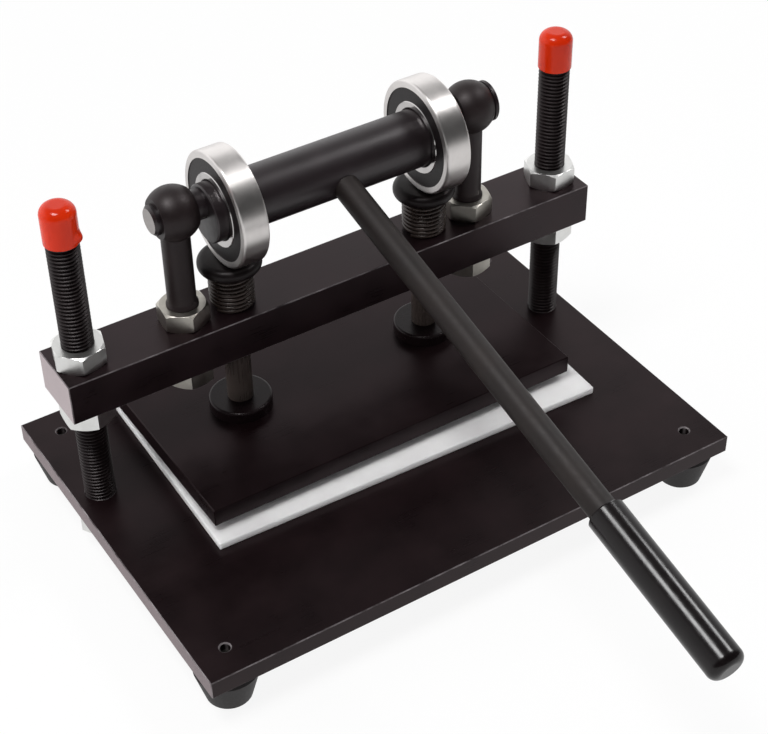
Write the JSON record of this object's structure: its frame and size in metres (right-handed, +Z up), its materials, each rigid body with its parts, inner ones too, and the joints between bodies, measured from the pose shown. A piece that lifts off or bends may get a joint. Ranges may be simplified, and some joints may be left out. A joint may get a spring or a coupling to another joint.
{
  "type": "manual leather cutting machine",
  "caption": "Bench press that pushes a steel-rule die through leather: a lever turns an eccentric shaft whose bearings press sprung plungers and a flat plate onto a board.",
  "frame": {"origin": "on the bench, under the middle of the whole machine's outline with its handle as pictured", "axes": "+X to the right seen from the handle's side, +Y to the back, +Z up"},
  "size_m": [0.36, 0.4455, 0.2446],
  "materials": {
    "black_steel": "satin black oxide",
    "plain_steel": "dull zinc",
    "bright_steel": "bright zinc",
    "bearing_steel": "ground bearing steel",
    "spring_steel": "oiled black spring wire",
    "red_vinyl": "soft dipped vinyl",
    "black_vinyl": "glossy dipped vinyl",
    "white_plastic": "matt",
    "foot_rubber": "moulded",
    "seal_rubber": "moulded"
  },
  "bodies": {
    "base": {"base_plate": "black_steel", "foot_front_left": "foot_rubber", "foot_front_right": "foot_rubber", "foot_back_left": "foot_rubber", "foot_back_right": "foot_rubber", "foot_screws": "plain_steel", "post_left": "black_steel", "post_right": "black_steel", "post_base_nuts": "bright_steel", "post_cap_left": "red_vinyl", "post_cap_right": "red_vinyl"},
    "board": {"cutting_board": "white_plastic"},
    "beam": {"beam": "black_steel", "eye_bolt_left": "black_steel", "eye_bolt_right": "black_steel", "eye_nuts_upper": "plain_steel", "eye_nuts_lower": "plain_steel", "spring_left": "spring_steel", "spring_right": "spring_steel"},
    "shaft": {"eccentric_shaft": "black_steel", "stop_ring": "black_steel", "handle_rod": "black_steel", "handle_grip": "black_vinyl", "bearing_inner_left": "bearing_steel", "bearing_inner_right": "bearing_steel"},
    "ring_left": {"bearing_outer_left": "bearing_steel", "bearing_seals_left": "seal_rubber"},
    "ring_right": {"bearing_outer_right": "bearing_steel", "bearing_seals_right": "seal_rubber"},
    "cage_left": {"bearing_cage_left": "plain_steel", "bearing_balls_left": "bearing_steel"},
    "cage_right": {"bearing_cage_right": "plain_steel", "bearing_balls_right": "bearing_steel"},
    "press": {"press_plate": "black_steel", "plunger_left": "black_steel", "plunger_right": "black_steel", "plunger_head_left": "black_steel", "plunger_head_right": "black_steel", "plunger_screws": "plain_steel"},
    "nut_upper_left": {"post_nut_upper_left": "bright_steel"},
    "nut_upper_right": {"post_nut_upper_right": "bright_steel"},
    "nut_lower_left": {"post_nut_lower_left": "bright_steel"},
    "nut_lower_right": {"post_nut_lower_right": "bright_steel"}
  },
  "joints": [
    {"name": "board_slide", "type": "slide", "parent": "base", "child": "board", "axis": [0, -1, 0], "range_m": [0, 0.12]},
    {"name": "beam_height", "type": "slide", "parent": "base", "child": "beam", "axis": [0, 0, 1], "range_m": [-0.0035, 0.05]},
    {"name": "handle_turn", "type": "hinge", "parent": "beam", "child": "shaft", "pos_m": [0.0015, 0.14166, 0.2135], "axis": [-1, 0, 0], "range_deg": [-12, 100]},
    {"name": "press_slide", "type": "slide", "parent": "beam", "child": "press", "axis": [0, 0, 1], "range_m": [-0.0011, 0.0089], "stiffness_N_per_m": 26000, "springref_m": 0.0099, "deforming": ["spring_left", "spring_right"]},
    {"name": "ring_spin_left", "type": "hinge", "parent": "shaft", "child": "ring_left", "pos_m": [-0.0655, 0.13891, 0.20761], "axis": [1, 0, 0], "continuous": true},
    {"name": "cage_spin_left", "type": "hinge", "parent": "shaft", "child": "cage_left", "pos_m": [-0.0655, 0.13891, 0.20761], "axis": [1, 0, 0], "continuous": true},
    {"name": "ring_spin_right", "type": "hinge", "parent": "shaft", "child": "ring_right", "pos_m": [0.0685, 0.13891, 0.20761], "axis": [1, 0, 0], "continuous": true},
    {"name": "cage_spin_right", "type": "hinge", "parent": "shaft", "child": "cage_right", "pos_m": [0.0685, 0.13891, 0.20761], "axis": [1, 0, 0], "continuous": true},
    {"name": "nut_upper_left_turn", "type": "hinge", "parent": "beam", "child": "nut_upper_left", "pos_m": [-0.1635, 0.14166, 0.139], "axis": [0, 0, 1], "range_deg": [-505, 7201]},
    {"name": "nut_upper_right_turn", "type": "hinge", "parent": "beam", "child": "nut_upper_right", "pos_m": [0.1635, 0.14166, 0.139], "axis": [0, 0, 1], "range_deg": [-505, 7201]},
    {"name": "nut_lower_left_turn", "type": "hinge", "parent": "beam", "child": "nut_lower_left", "pos_m": [-0.1635, 0.14166, 0.112], "axis": [0, 0, 1], "range_deg": [-505, 7201]},
    {"name": "nut_lower_right_turn", "type": "hinge", "parent": "beam", "child": "nut_lower_right", "pos_m": [0.1635, 0.14166, 0.112], "axis": [0, 0, 1], "range_deg": [-505, 7201]}
  ],
  "couplings": [
    {"joint": "press_slide", "follows": "handle_turn", "m_per_rad": 0.005},
    {"joint": "cage_spin_left", "follows": "ring_spin_left", "ratio": 0.6},
    {"joint": "cage_spin_right", "follows": "ring_spin_right", "ratio": 0.6},
    {"joint": "nut_upper_left_turn", "follows": "beam_height", "rad_per_m": 2513.3},
    {"joint": "nut_upper_right_turn", "follows": "beam_height", "rad_per_m": 2513.3},
    {"joint": "nut_lower_left_turn", "follows": "beam_height", "rad_per_m": 2513.3},
    {"joint": "nut_lower_right_turn", "follows": "beam_height", "rad_per_m": 2513.3}
  ]
}
